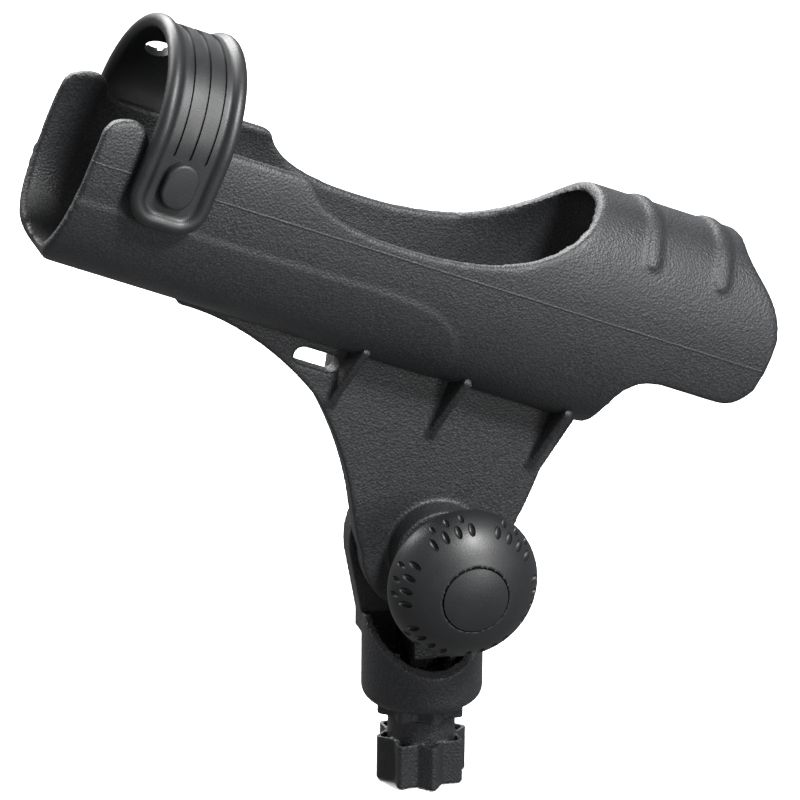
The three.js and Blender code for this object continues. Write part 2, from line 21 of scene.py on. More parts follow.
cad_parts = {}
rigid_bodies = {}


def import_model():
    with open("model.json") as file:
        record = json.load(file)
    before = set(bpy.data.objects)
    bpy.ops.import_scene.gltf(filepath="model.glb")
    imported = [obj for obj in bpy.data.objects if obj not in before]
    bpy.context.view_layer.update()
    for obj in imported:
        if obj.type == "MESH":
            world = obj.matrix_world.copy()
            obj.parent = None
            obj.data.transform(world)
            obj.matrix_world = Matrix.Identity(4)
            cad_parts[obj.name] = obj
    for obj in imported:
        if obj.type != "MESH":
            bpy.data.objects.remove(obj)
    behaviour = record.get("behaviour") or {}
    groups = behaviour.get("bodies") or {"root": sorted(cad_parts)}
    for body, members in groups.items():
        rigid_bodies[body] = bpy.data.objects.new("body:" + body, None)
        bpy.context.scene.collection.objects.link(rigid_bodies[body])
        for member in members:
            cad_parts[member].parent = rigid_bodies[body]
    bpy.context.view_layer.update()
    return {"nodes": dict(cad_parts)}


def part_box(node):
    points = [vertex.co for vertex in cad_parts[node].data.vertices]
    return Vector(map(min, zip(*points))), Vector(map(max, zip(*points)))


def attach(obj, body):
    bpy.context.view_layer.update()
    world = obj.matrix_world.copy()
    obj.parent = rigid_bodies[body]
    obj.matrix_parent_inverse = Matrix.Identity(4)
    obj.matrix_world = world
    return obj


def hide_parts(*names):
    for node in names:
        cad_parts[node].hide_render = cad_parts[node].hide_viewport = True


for leftover in list(bpy.data.objects):
    bpy.data.objects.remove(leftover)
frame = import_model()
nodes = frame["nodes"]

# %% [markdown]
# ## Working in millimetres
#
# Small solids are joined and cut here, and Blender's Boolean modifier is steadier when their
# sizes are numbers like 30 than when they are 0.03. So every piece is modelled in millimetres,
# and its mesh is scaled to metres once, as its last step.
#
# Each solid is drawn in a frame of its own: the tube's leans back by 23 degrees, the hinge's
# looks along Y, and the spigot's is upright. A matrix made from three directions and a point
# carries the solid to its place.

# %% Frames
MM = 0.001
TILT = math.radians(23)
ALONG = (math.cos(TILT), 0, -math.sin(TILT))
UP = (math.sin(TILT), 0, math.cos(TILT))
TUBE_ORIGIN = Vector((5, 0, 201.2))
HINGE = Vector((2, 0, 91))


def place(x, y, z, at=(0, 0, 0)):
    """The matrix that carries local x, y and z to these directions, and the origin to a point."""
    matrix = Matrix((x, y, z)).transposed().to_4x4()
    matrix.translation = at
    return matrix


def on_tube(u, y, w):
    """A point u along the tube, y across it and w above its widest line."""
    return TUBE_ORIGIN + u * Vector(ALONG) + Vector((0, y, 0)) + w * Vector(UP)


def facing_along(u):
    """Local x across the tube, y up it and z along it, from a place u along."""
    return place((0, 1, 0), UP, ALONG, on_tube(u, 0, 0))


UPRIGHT = Matrix.Identity(4)
TUBE_AXES = place(ALONG, (0, 1, 0), UP)
ABOUT_HINGE = place((1, 0, 0), (0, 0, -1), (0, 1, 0), HINGE)

# %% [markdown]
# ## Outlines, prisms and turned solids
#
# Almost every moulded part starts as an outline with a thickness, or as a profile turned round
# an axis. An outline is a start point and a list of strokes: one point is a straight line, two
# are a curve with one handle, and three are a curve with two handles.

# %% Outlines
def outline(start, *strokes, steps=14):
    points = [Vector((*start, 0))]
    for stroke in strokes:
        here, end = points[-1], Vector((*stroke[-1], 0))
        if len(stroke) == 1:
            points.append(end)
            continue
        first, last = Vector((*stroke[0], 0)), Vector((*stroke[-2], 0))
        if len(stroke) == 2:
            first, last = here.lerp(first, 2 / 3), end.lerp(last, 2 / 3)
        points += [Vector(p) for p in interpolate_bezier(here, first, last, end, steps)[1:]]
    if (points[0] - points[-1]).length < 1e-4:
        points.pop()
    return points


def arc(cx, cy, r, start, end, steps=24, ry=None):
    """Points on a circle or an ellipse from one angle to another, in degrees."""
    angles = [math.radians(start + (end - start) * i / steps) for i in range(steps + 1)]
    return [Vector((cx + r * math.cos(a), cy + (ry or r) * math.sin(a), 0)) for a in angles]


def prism(points, thick, matrix):
    bm = bmesh.new()
    face = bm.faces.new([bm.verts.new((p[0], p[1], 0)) for p in points])
    made = bmesh.ops.extrude_face_region(bm, geom=[face])
    top = [v for v in made["geom"] if isinstance(v, bmesh.types.BMVert)]
    bmesh.ops.translate(bm, vec=(0, 0, thick), verts=top)
    bmesh.ops.transform(bm, matrix=matrix, verts=bm.verts)
    bmesh.ops.recalc_face_normals(bm, faces=bm.faces)
    return bm


def turned(profile, matrix, steps=128):
    """A profile of (radius, height) points turned about local Z. It starts and ends on the axis,
    or it is closed where it stands off the axis."""
    bm = bmesh.new()
    verts = [bm.verts.new((r, 0, h)) for r, h in profile]
    pairs = list(zip(verts, verts[1:]))
    if profile[0][0] > 0:
        pairs.append((verts[-1], verts[0]))
    edges = [bm.edges.new(pair) for pair in pairs]
    bmesh.ops.spin(
        bm, geom=verts + edges, cent=(0, 0, 0), axis=(0, 0, 1),
        angle=2 * math.pi, steps=steps, use_merge=True,
    )
    bmesh.ops.remove_doubles(bm, verts=bm.verts, dist=1e-4)
    bmesh.ops.transform(bm, matrix=matrix, verts=bm.verts)
    bmesh.ops.recalc_face_normals(bm, faces=bm.faces)
    return bm


def disc(radius, low, high, matrix, steps=96):
    return turned([(0, low), (radius, low), (radius, high), (0, high)], matrix, steps)


def block(low, high):
    bm = bmesh.new()
    bmesh.ops.create_cube(bm, size=1)
    size = [b - a for a, b in zip(low, high)]
    middle = [(a + b) / 2 for a, b in zip(low, high)]
    bmesh.ops.scale(bm, vec=size, verts=bm.verts)
    bmesh.ops.translate(bm, vec=middle, verts=bm.verts)
    return bm


# %% [markdown]
# ## One moulded skin
#
# A moulding has no sharp corners: molten nylon can't fill them and a mould can't be cut with
# them. Rounding each edge with a bevel would be slow where so many solids meet. Instead the
# solids are cut with Boolean modifiers, laid over each other, and wrapped in one fine voxel skin.
# A Smooth modifier then relaxes the skin, which rounds every edge as a mould leaves it.

# %% Booleans and the skin
def piece(name, *solids):
    """One object that holds several bmesh solids."""
    mesh = bpy.data.meshes.new(name)
    whole = bmesh.new()
    for solid in solids:
        solid.to_mesh(mesh)
        solid.free()
        whole.from_mesh(mesh)
    whole.to_mesh(mesh)
    whole.free()
    obj = bpy.data.objects.new(name, mesh)
    bpy.context.scene.collection.objects.link(obj)
    return obj


def settle(obj):
    """Applies every modifier to the mesh."""
    graph = bpy.context.evaluated_depsgraph_get()
    done = bpy.data.meshes.new_from_object(obj.evaluated_get(graph))
    rough = obj.data
    obj.modifiers.clear()
    obj.data = done
    bpy.data.meshes.remove(rough)


def boolean(obj, operation, *solids, overlapping=False):
    tool = piece(obj.name + "_tool", *solids)
    modifier = obj.modifiers.new(operation, "BOOLEAN")
    modifier.operation = operation
    modifier.solver = "EXACT"
    modifier.use_self = overlapping
    modifier.object = tool
    settle(obj)
    bpy.data.objects.remove(tool)
    return obj


def together(name, *objects):
    """Several objects as one mesh, still overlapping: the skin makes one body of them."""
    whole = bmesh.new()
    for obj in objects:
        whole.from_mesh(obj.data)
        bpy.data.objects.remove(obj)
    mesh = bpy.data.meshes.new(name)
    whole.to_mesh(mesh)
    whole.free()
    obj = bpy.data.objects.new(name, mesh)
    bpy.context.scene.collection.objects.link(obj)
    return obj


def as_cutter(obj):
    """An object's mesh as a bmesh, to cut another with. The object goes."""
    bm = bmesh.new()
    bm.from_mesh(obj.data)
    bpy.data.objects.remove(obj)
    return bm


def skin(obj, voxel, relax, axes=Matrix.Identity(4)):
    """One even skin over a solid. Its cells line up with the axes, so a flat face stays flat."""
    obj.data.transform(axes.inverted())
    remesh = obj.modifiers.new("skin", "REMESH")
    remesh.mode = "VOXEL"
    remesh.voxel_size = voxel
    remesh.use_smooth_shade = True
    smooth = obj.modifiers.new("relax", "SMOOTH")
    smooth.factor = 0.5
    smooth.iterations = relax
    settle(obj)
    obj.data.transform(axes)


CREASE = math.radians(42)  # an edge that turns more than this is drawn sharp


def finish_piece(obj, node, body):
    """Scales a finished mesh to metres and ties it to the frame."""
    obj.data.transform(Matrix.Scale(MM, 4))
    for polygon in obj.data.polygons:
        polygon.use_smooth = True
    obj.data.set_sharp_from_angle(angle=CREASE)
    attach(obj, body)
    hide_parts(node)
    low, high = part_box(node)
    faces = len(obj.data.polygons)
    print(f"{obj.name}: {faces} faces, for {node} at {[round(v, 3) for v in (*low, *high)]}")


# %% [markdown]
# ## The tube's solids
#
# The tube's section is a superellipse, a little squarer than an ellipse, taller below its widest
# line than above. An outer bar of that section with an inner bar cut out of it is a pipe, and an
# outline seen from the side then trims the pipe: it leaves two ears at the front, a notch for the
# bail, the scooped top, and the slanted mouth at the rear.

# %% Sections of the tube
HALF_WIDTH, ABOVE, BELOW, WALL = 29.5, 39, 43.5, 4.2
POWER_ABOVE, POWER_BELOW = 2.2, 2.4  # an ellipse has 2, and more is squarer


def section(inset, steps=168):
    points = []
    for i in range(steps):
        c, s = math.cos(2 * math.pi * i / steps), math.sin(2 * math.pi * i / steps)
        power, tall = (POWER_ABOVE, ABOVE) if s > 0 else (POWER_BELOW, BELOW)
        y = (HALF_WIDTH - inset) * math.copysign(abs(c) ** (2 / power), c)
        w = (tall - inset) * math.copysign(abs(s) ** (2 / power), s)
        points.append((y, w))
    return points


def bar(inset, low, high):
    """A solid bar of the tube's section, between two places along the tube."""
    return prism(section(inset), high - low, facing_along(low))


def from_side(points, half=45):
    """An outline in the tube's side view, through its whole width."""
    return prism(points, 2 * half, place(ALONG, UP, (0, -1, 0), on_tube(0, half, 0)))


side_view = outline(
    (-145, -33),
    ((-145, 9),),
    ((-144.5, 16.5), (-135, 17.2)),
    ((-130, 17.2), (-127.5, 11.5)),
    ((-127, 10.4), (-125.5, 10.4)),
    ((-102.5, 10.4),),
    ((-100.5, 16.5), (-97, 16.6)),
    ((-69.5, 16.8),),
    ((-66.5, 16.8), (-64.5, 14)),
    ((-57, 3.4), (-26, 3.2)),
    ((2, 3.4), (22, 8), (36, 22)),
    ((46, 32), (47.5, 48)),
    ((104.5, 48),),
    ((104.5, 37),),
    ((106, 30), (121, 26), (122.2, 9)),
    ((121.4, -4),),
    ((119.5, -16.4), (108, -16.4)),
    ((86, -16.4),),
    ((73.5, -17.5), (72.8, -32)),
    ((72.6, -50),),
    ((-132, -50),),
    ((-132, -44.5),),
    ((-145, -43.5), (-145, -33)),
)

# %% [markdown]
# ## The rod tube
#
# Two hoops stand on the crown of the rear part, with round ends. They are cut from a bar that is
# slightly larger than the tube. After the skin is on, the lower panel of the real tube stands
# half a millimetre proud of the rest, with a round nose at its rear end. That is a smooth step,
# so it is made by moving the outer skin outwards below a line.

# %% The tube's shape
def hoop(u, half=2.2, end=25):
    bead = piece("bead", bar(-1.2, u - half, u + half))
    keep = [(u + half, 60), (u - half, 60)] + arc(u, end, half, 180, 360, 12)
    boolean(bead, "INTERSECT", from_side(keep))
    return boolean(bead, "DIFFERENCE", bar(WALL - 1, u - 10, u + 10))


tube = piece("rod_tube", bar(0, -145, 125))
boolean(tube, "DIFFERENCE", bar(WALL, -150, 130))
boolean(tube, "INTERSECT", from_side(side_view))
tube = together("rod_tube", tube, hoop(66.5), hoop(94.5))
skin(tube, 1.08, 8, TUBE_AXES)

PANEL_RISE, PANEL_STEP, PANEL_END = 0.55, 1.6, 16
panel = outline(
    (-170, -14.5),
    ((-24, -13.2),),
    ((0, -13), (11, -21), (12.2, -35)),
    ((12.2, -70),),
    ((-170, -70),),
)


def depth_in(points, u, w):
    """How far inside an outline a point is: negative outside."""
    inside, nearest = False, 1e9
    for a, b in zip(points, points[1:] + points[:1]):
        if (a.y > w) != (b.y > w) and u < (b.x - a.x) * (w - a.y) / (b.y - a.y) + a.x:
            inside = not inside
        edge = b - a
        t = max(0, min(1, ((u - a.x) * edge.x + (w - a.y) * edge.y) / edge.length_squared))
        nearest = min(nearest, math.hypot(u - a.x - t * edge.x, w - a.y - t * edge.y))
    return nearest if inside else -nearest


def raise_panel(obj):
    """Moves the outer skin outwards inside the panel's outline, and leaves the bore alone."""
    bm = bmesh.new()
    bm.from_mesh(obj.data)
    bm.normal_update()
    for v in bm.verts:
        offset = v.co - TUBE_ORIGIN
        u, w = offset.dot(Vector(ALONG)), offset.dot(Vector(UP))
        power, tall = (POWER_ABOVE, ABOVE) if w > 0 else (POWER_BELOW, BELOW)
        fullness = (abs(v.co.y) / HALF_WIDTH) ** power + (abs(w) / tall) ** power
        if u > PANEL_END or w > -10 or fullness < 0.9:
            continue
        share = max(0, min(1, 0.5 + depth_in(panel, u, w) / PANEL_STEP))
        v.co += v.normal * PANEL_RISE * share
    bm.to_mesh(obj.data)
    bm.free()


raise_panel(tube)
finish_piece(tube, "rod_cradle", "cradle")

# %% [markdown]
# ## The web
#
# The web is a flat plate on the knob side of the tube's middle. Its lower end is a round hub with
# a boss for the knob to press on, and thin gusset ribs stiffen the corner under the tube. The
# web is a skin of its own, finer than the tube's, and its upper edge ends inside the tube's wall.

# %% The web's shape
WEB_NEAR, WEB_FAR = -6, 1.5
HUB, BOSS, BOSS_FACE, BOLT = 26.5, 17, -16, 4.3
GUSSET = 3.2


def plate(points, near, far):
    """An outline in X and Z, from one Y to another."""
    return prism(points, far - near, place((1, 0, 0), (0, 0, 1), (0, -1, 0), (0, far, 0)))


web_outline = (
    outline(
        (-62, 183),
        ((-42, 160), (-30.5, 132), (-28, 108)),
        ((-27, 101), (-26.5, 97), (-24.5, 91)),
    )
    + arc(HINGE.x, HINGE.z, HUB, 180, 340, 48)
    + outline((33.5, 98), ((37, 104), (41.5, 115.5)), ((56.5, 137),), ((66, 152),), ((-40, 198),))
)
toe_outline = outline(
    (-40, 198), ((-40, 150),), ((-50, 165), (-68, 184), (-92, 193)), ((-90, 205),)
)
slot_outline = arc(-35, -50, 3.2, 90, 270, 16) + arc(-24, -50, 3.2, -90, 90, 16)


def gusset(u, side):
    face, reach = (WEB_NEAR, -19) if side < 0 else (WEB_FAR, 19)
    points = [
        (face - side, -65), (face + side * 0.4, -65), (reach, -39),
        (reach - side * 3, -33), (face - side, -41),
    ]
    return prism(points, GUSSET, facing_along(u - GUSSET / 2))


web = piece(
    "web",
    plate(web_outline, WEB_NEAR, WEB_FAR),
    plate(toe_outline, WEB_NEAR, WEB_FAR),
    *[gusset(u, side) for u in (-18.5, 21.8, 62.5) for side in (-1, 1)],
    disc(BOSS, BOSS_FACE, WEB_NEAR + 1, ABOUT_HINGE),
)
boolean(web, "DIFFERENCE", bar(2.2, -150, 130), overlapping=True)
boolean(web, "DIFFERENCE", from_side(slot_outline), disc(BOLT, -30, 20, ABOUT_HINGE))
skin(web, 0.7, 5)
finish_piece(web, "rod_cradle", "cradle")

# %% [markdown]
# ## The bail
#
# The bail is an arched strap across the front of the tube. Its border is a round bar swept along
# the strap's edge, and the strap inside it is thinner. Three grooves run over the crown and stop
# on the legs, and a hole takes a cord. They are cut after the skin is on, so that their edges
# stay crisp. A button head near the foot of each leg is the pivot.

# %% The bail's shape
BAIL_AT, BAIL_WIDE, PIVOT_UP, CROWN, LEG_DOWN, STRAP = -115, 30, 2.5, 41.1, 17.5, 4.5
LEG_INNER = HALF_WIDTH + 0.7
CROWN_LINE = PIVOT_UP + CROWN - LEG_INNER


def arch(inner, outer, low, high, bottom=-30):
    """A round-topped arch with straight legs, between two places along the tube."""
    points = (
        [(-outer, bottom)] + arc(0, CROWN_LINE, outer, 180, 0, 64)
        + [(outer, bottom), (inner, bottom)] + arc(0, CROWN_LINE, inner, 0, 180, 64)
        + [(-inner, bottom)]
    )
    return prism(points, high - low, facing_along(low))


def strap_view(inset):
    half, low, corner = BAIL_WIDE / 2 - inset, PIVOT_UP - LEG_DOWN + inset, 11 - inset
    left, right = BAIL_AT - half, BAIL_AT + half
    return outline(
        (left, 80),
        ((left, low + corner),),
        ((left, low), (left + corner, low)),
        ((right - corner, low),),
        ((right, low), (right, low + corner)),
        ((right, 80),),
    )


def groove(u, half=1.0, end=12.4):
    shell = piece("groove", arch(LEG_INNER + STRAP - 1.5, LEG_INNER + STRAP + 1, u - 3, u + 3))
    band = [(u + half, 80), (u - half, 80)] + arc(u, end, half, 180, 360, 12)
    return boolean(shell, "INTERSECT", from_side(band, 60))


def cord_hole():
    lean = math.radians(52)
    normal = Vector((UP[0] * math.cos(lean), math.sin(lean), UP[2] * math.cos(lean)))
    side = normal.cross(Vector(ALONG))
    start = on_tube(BAIL_AT - 2.5, 0, CROWN_LINE) + normal * (LEG_INNER - 4)
    return prism(arc(0, 0, 5, 0, 354, 47, ry=4.2), 20, place(ALONG, side, normal, start))


def across(side, radius, low, high):
    """A round bar along Y through the bail's pivot, on one side of the tube."""
    middle = on_tube(BAIL_AT, 0, PIVOT_UP)
    return disc(radius, low, high, place((1, 0, 0), (0, 0, -side), (0, side, 0), middle))


BEAD, BEND = 2.85, 8  # the border's radius, and its middle line's where it turns at a foot
BEAD_LINE = LEG_INNER + BEAD + 0.1
BEAD_REACH = BAIL_WIDE / 2 - BEAD
low, high = BAIL_AT - BAIL_WIDE / 2 - 2, BAIL_AT + BAIL_WIDE / 2 + 2


def corner_turn():
    """Round the foot of one leg: down from the front edge, and up to the back one."""
    foot = PIVOT_UP - LEG_DOWN + BEAD
    angles = [math.radians(15 * i) for i in range(7)]
    front = [
        (-BEAD_REACH + BEND * (1 - math.cos(a)), foot + BEND - BEND * math.sin(a))
        for a in angles[1:]
    ]
    back = [
        (BEAD_REACH - BEND * (1 - math.sin(a)), foot + BEND - BEND * math.cos(a))
        for a in angles[:-1]
    ]
    return [on_tube(BAIL_AT + u, -BEAD_LINE, w) for u, w in front + back]


def border():
    """A round bar along the strap's edge. Half of its loop goes over the crown in front and round
    the foot of one leg, and the other half is the same, turned half round the strap's middle."""
    front_edge = on_tube(BAIL_AT - BEAD_REACH, 0, 0)
    over = arc(0, CROWN_LINE, BEAD_LINE, 0, 180, 48)
    crown = [on_tube(0, y, w) - TUBE_ORIGIN for y, w, _ in over]
    half = [
        on_tube(BAIL_AT - BEAD_REACH, BEAD_LINE, PIVOT_UP - LEG_DOWN + BEAD + BEND),
        *[p + front_edge for p in crown],
        on_tube(BAIL_AT - BEAD_REACH, -BEAD_LINE, PIVOT_UP - LEG_DOWN + BEAD + BEND),
        *corner_turn(),
    ]
    middle = on_tube(BAIL_AT, 0, 0)
    half_turn = Matrix.Rotation(math.pi, 4, Vector(UP))
    loop = half + [middle + half_turn @ (p - middle) for p in half]
    curve = bpy.data.curves.new("border", "CURVE")
    curve.dimensions = "3D"
    curve.bevel_depth, curve.bevel_resolution = BEAD, 6
    spline = curve.splines.new("POLY")
    spline.points.add(len(loop) - 1)
    for point, at in zip(spline.points, loop):
        point.co = (*at, 1)
    spline.use_cyclic_u = True
    swept = bpy.data.objects.new("border", curve)
    bpy.context.scene.collection.objects.link(swept)
    graph = bpy.context.evaluated_depsgraph_get()
    mesh = bpy.data.meshes.new_from_object(swept.evaluated_get(graph))
    bpy.data.objects.remove(swept)
    bead = bpy.data.objects.new("border", mesh)
    bpy.context.scene.collection.objects.link(bead)
    return bead


bail = piece("bail_strap", arch(LEG_INNER + 0.5, LEG_INNER + STRAP - 0.5, low, high))
boolean(bail, "INTERSECT", from_side(strap_view(1.5), 60))
boolean(bail, "DIFFERENCE", across(-1, 5.3, 20, 50), across(1, 5.3, 20, 50))
bail = together("bail_strap", bail, border())
skin(bail, 0.5, 5, TUBE_AXES)
grooves = together("grooves", *[groove(BAIL_AT + offset) for offset in (-6, 0, 6)])
boolean(bail, "DIFFERENCE", as_cutter(grooves))
boolean(bail, "DIFFERENCE", cord_hole())
finish_piece(bail, "closing_bail", "bail")

# %% [markdown]
# ## The bail's button heads
#
# Each pivot is a push-in pin: an oval button outside, a round journal through the leg, and a
# shank pressed into the tube's wall. The button is an outline with a bevelled rim, and the rest
# is turned.

# %% The buttons
BUTTON_WIDE, BUTTON_TALL, BUTTON_FROM, BUTTON_THICK = 12, 16.6, 34.5, 3.4


def button(side):
    rx, straight = BUTTON_WIDE / 2, (BUTTON_TALL - BUTTON_WIDE) / 2
    oval = arc(0, straight, rx, 0, 180, 28) + arc(0, -straight, rx, 180, 360, 28)
    out = (0, side, 0)
    start = on_tube(BAIL_AT, side * BUTTON_FROM, PIVOT_UP)
    across_x = ALONG if side < 0 else [-v for v in ALONG]
    head = prism(oval, BUTTON_THICK, place(across_x, UP, out, start))
    top = [f for f in head.faces if f.normal.dot(Vector(out)) > 0.9]
    rim = [e for f in top for e in f.edges]
    bmesh.ops.bevel(
        head, geom=rim, offset=1.1, affect="EDGES", segments=4, profile=0.5, material=-1
    )
    inner = HALF_WIDTH - WALL
    shank = [
        (0, inner + 1.2), (4, inner + 1.2), (4, 29.8), (5, 29.8),
        (5, BUTTON_FROM + 1), (0, BUTTON_FROM + 1),
    ]
    turn = place((1, 0, 0), (0, 0, -side), out, on_tube(BAIL_AT, 0, PIVOT_UP))
    return head, turned(shank, turn, 64)


for side, name in ((-1, "near"), (1, "far")):
    pin = piece("bail_button_" + name, *button(side))
    finish_piece(pin, "bail_pivot_" + name, "cradle")

# %% [markdown]
# ## The knob
#
# The knob is a dome over a stem, hollow behind with six fins. Groups of small pits round its
# shoulder give the fingers a grip: four large pits inside, three small ones outside, six times
# round. A pit is a stretched ball sunk into the dome, pointing along the radius, and it is cut
# after the skin is on so that its edge stays crisp.

# %% The knob's shape
KNOB, RIM, DOME, CAP = 27.4, -39, 19, 12


def dome(radius, depth, start, end, steps=24):
    angles = [math.radians(start + (end - start) * i / steps) for i in range(steps + 1)]
    return [(radius * math.cos(a), RIM - depth * math.sin(a)) for a in angles]


def pit(angle, radius, long, wide, deep):
    """A stretched ball whose middle is on the dome, long side pointing to the knob's axis."""
    height = RIM - DOME * math.sqrt(1 - (radius / KNOB) ** 2)
    slope = math.atan2(DOME**2 * radius, KNOB**2 * (RIM - height))
    a = math.radians(angle)
    out = Vector((math.cos(a), 0, math.sin(a)))
    normal = (out * math.sin(slope) + Vector((0, -math.cos(slope), 0))).normalized()
    tangent = normal.cross(Vector((-math.sin(a), 0, math.cos(a)))).normalized()
    bm = bmesh.new()
    bmesh.ops.create_uvsphere(bm, u_segments=20, v_segments=12, radius=1)
    bmesh.ops.scale(bm, vec=(long, wide, deep), verts=bm.verts)
    middle = HINGE + out * radius + Vector((0, height, 0)) + normal * 0.35
    bmesh.ops.transform(
        bm, matrix=place(tangent, normal.cross(tangent), normal, middle), verts=bm.verts
    )
    return bm


cap_edge = math.degrees(math.acos((CAP + 0.15) / KNOB))
knob_profile = (
    [(6.5, -18.2), (15.5, -18.2), (15.5, -50)]
    + dome(KNOB - 3, DOME - 3, 50, 0, 12)
    + [(KNOB - 1.6, RIM + 1.4), (KNOB - 0.5, RIM + 1.3)]
    + dome(KNOB, DOME, 0, cap_edge, 40)
    + [(CAP + 0.15, -52.8), (9.2, -52.8), (9.2, -46.3), (6.5, -46.3)]
)
pits = []
for group in range(6):
    turn = 47 + 60 * group
    pits += [pit(turn + step, 23.7, 2.9, 1.4, 2.1) for step in (-18, -6, 6, 18)]
    pits += [pit(turn + step, 26.4, 2.3, 1.15, 1.6) for step in (-12, 0, 12)]
fin_solids = []
for i in range(6):
    fin = block((14, -52, -1), (26.4, -39.5, 1))
    around = Matrix.Rotation(math.radians(60 * i), 3, "Y")
    bmesh.ops.rotate(fin, cent=(0, 0, 0), matrix=around, verts=fin.verts)
    bmesh.ops.translate(fin, vec=HINGE, verts=fin.verts)
    fin_solids.append(fin)
fins = piece("fins", *fin_solids)
inner_dome = turned([(0, RIM)] + dome(KNOB - 1, DOME - 1, 0, 90, 16), ABOUT_HINGE)
boolean(fins, "INTERSECT", inner_dome, overlapping=True)
knob = piece("knob_dome", turned(knob_profile, ABOUT_HINGE, 160))
knob = together("knob_dome", knob, fins)
skin(knob, 0.5, 3)
boolean(knob, "DIFFERENCE", *pits)
finish_piece(knob, "knob_shell", "knob")

cap_profile = [(0, -53.1), (CAP - 0.15, -53.1)] + dome(KNOB, DOME, cap_edge + 0.9, 90, 20)
cap_profile[-1] = (0, RIM - DOME)
cap = piece("knob_button", turned(cap_profile, ABOUT_HINGE, 128))
finish_piece(cap, "knob_cap", "knob")

# %% [markdown]
# ## The base
#
# A turned collar with a round lower corner rises into a flat ear. On the knob side the collar is
# cut by a slope and hollowed, and a block is left standing in the hollow with a slot for the
# spigot's nut. A short eight-pointed ring below the collar locks the heading.

# %% The base's shape
COLLAR, COLLAR_LOW, COLLAR_HIGH, COLLAR_WALL = 21.8, 31, 64, 3
EAR_NEAR, EAR_FAR, EAR = 3.5, 12, 28.5
TIP, VALLEY, NECK, LOBES, STAR_HIGH, RING_LOW = 16.5, 12.65, 12.15, 8, 16.45, 25.3


def in_yz(points, low=-40, high=40):
    return prism(points, high - low, place((0, 1, 0), (0, 0, 1), (1, 0, 0), (low, 0, 0)))


def star(low, high):
    points = []
    for i in range(LOBES):
        a = 2 * math.pi * i / LOBES - math.pi / 2
        half = math.atan2(0.8, TIP)
        valley = a + math.pi / LOBES
        points += [(TIP * math.cos(a + s), TIP * math.sin(a + s)) for s in (-half, half)]
        points.append((VALLEY * math.cos(valley), VALLEY * math.sin(valley)))
    return prism(points, high - low, Matrix.Translation((0, 0, low)))


slope = (COLLAR_HIGH - 46) / COLLAR
corner = arc(COLLAR - 4.5, COLLAR_LOW + 4.5, 4.5, -90, 0, 16)
column = piece(
    "collar",
    turned(
        [(0, COLLAR_LOW)] + [tuple(p[:2]) for p in corner] + [(COLLAR, 92), (0, 92)],
        UPRIGHT, 160,
    ),
)
boolean(
    column, "DIFFERENCE",
    in_yz([(-40, COLLAR_HIGH - 40 * slope), (0, COLLAR_HIGH), (EAR_NEAR, COLLAR_HIGH),
           (EAR_NEAR, 130), (-40, 130)]),
    in_yz([(40, 40), (COLLAR + 0.5, 52), (EAR_FAR, 84), (EAR_FAR, 130), (40, 130)]),
    overlapping=True,
)
lean = 12
ear_outline = arc(HINGE.x, HINGE.z, EAR, -lean, 180 + lean, 64) + outline(
    (-COLLAR + 0.3, 62), ((-COLLAR + 0.3, 56),), ((COLLAR - 0.3, 56),), ((COLLAR - 0.3, 62),)
)
ear = piece("ear", plate(ear_outline, EAR_NEAR, EAR_FAR))
centre = piece("centre", block((-6.8, -12, 37), (9.4, 10, 61)))
boolean(centre, "INTERSECT", disc(COLLAR - 1, 30, 70, UPRIGHT))
hollow = piece("hollow", disc(COLLAR - COLLAR_WALL, 38.5, 90, UPRIGHT))
boolean(hollow, "INTERSECT", block((-40, -40, 30), (40, EAR_NEAR, 120)))
shell = together("shell", column, ear)
recess = block((-17.6, EAR_NEAR - 1, 46), (17.6, 9.5, 63.2))
boolean(shell, "DIFFERENCE", as_cutter(hollow), recess, overlapping=True)
collar = together(
    "base_moulding", shell, centre,
    piece("ear_boss", disc(11, EAR_FAR - 1, 17, ABOUT_HINGE)),
    piece("upper_star", star(RING_LOW, COLLAR_LOW + 1)),
)
NUT_CORNER = 7.85
corners = [math.radians(60 * i + 30) for i in range(6)]
hexagon = [(NUT_CORNER * math.cos(a), NUT_CORNER * math.sin(a)) for a in corners]
boolean(
    collar, "DIFFERENCE",
    block((-6.9, -17, 43.3), (6.9, 7, 50)),
    disc(BOLT, 0, 30, ABOUT_HINGE),
    prism(hexagon, 20, ABOUT_HINGE @ Matrix.Translation((0, 0, 11))),
    disc(8.3, 20, 34.3, UPRIGHT),
    overlapping=True,
)
skin(collar, 0.5, 4)
finish_piece(collar, "base_body", "base")

# %% [markdown]
# ## The spigot
#
# The lower star has eight lobes, hollowed from above to keep the walls even, and a waisted neck
# rises from it into the collar. The pockets are wedges cut down between the neck and the tips.

# %% The spigot's shape
def pocket(i):
    a = 2 * math.pi * i / LOBES - math.pi / 2
    corners = [(11.2, -3.6), (14.9, -0.7), (14.9, 0.7), (11.2, 3.6)]
    points = [
        (r * math.cos(a) - t * math.sin(a), r * math.sin(a) + t * math.cos(a)) for r, t in corners
    ]
    return prism(points, 12, Matrix.Translation((0, 0, STAR_HIGH - 10)))


lobes = piece("lobes", *[pocket(i) for i in range(LOBES)])
boolean(lobes, "DIFFERENCE", disc(NECK, 0, 40, UPRIGHT), overlapping=True)
prong = piece("star", star(0, STAR_HIGH))
boolean(prong, "DIFFERENCE", as_cutter(lobes))
spigot = together(
    "spigot_moulding", prong,
    piece("neck", disc(NECK, STAR_HIGH - 1, RING_LOW - 0.3, UPRIGHT)),
    piece("tenon", disc(8, RING_LOW - 1, 34, UPRIGHT)),
)
screw_hole, head_recess = disc(3.3, -1, 60, UPRIGHT), disc(7, -1, 9, UPRIGHT)
boolean(spigot, "DIFFERENCE", screw_hole, head_recess, overlapping=True)
skin(spigot, 0.4, 3)
finish_piece(spigot, "spigot_star", "base")

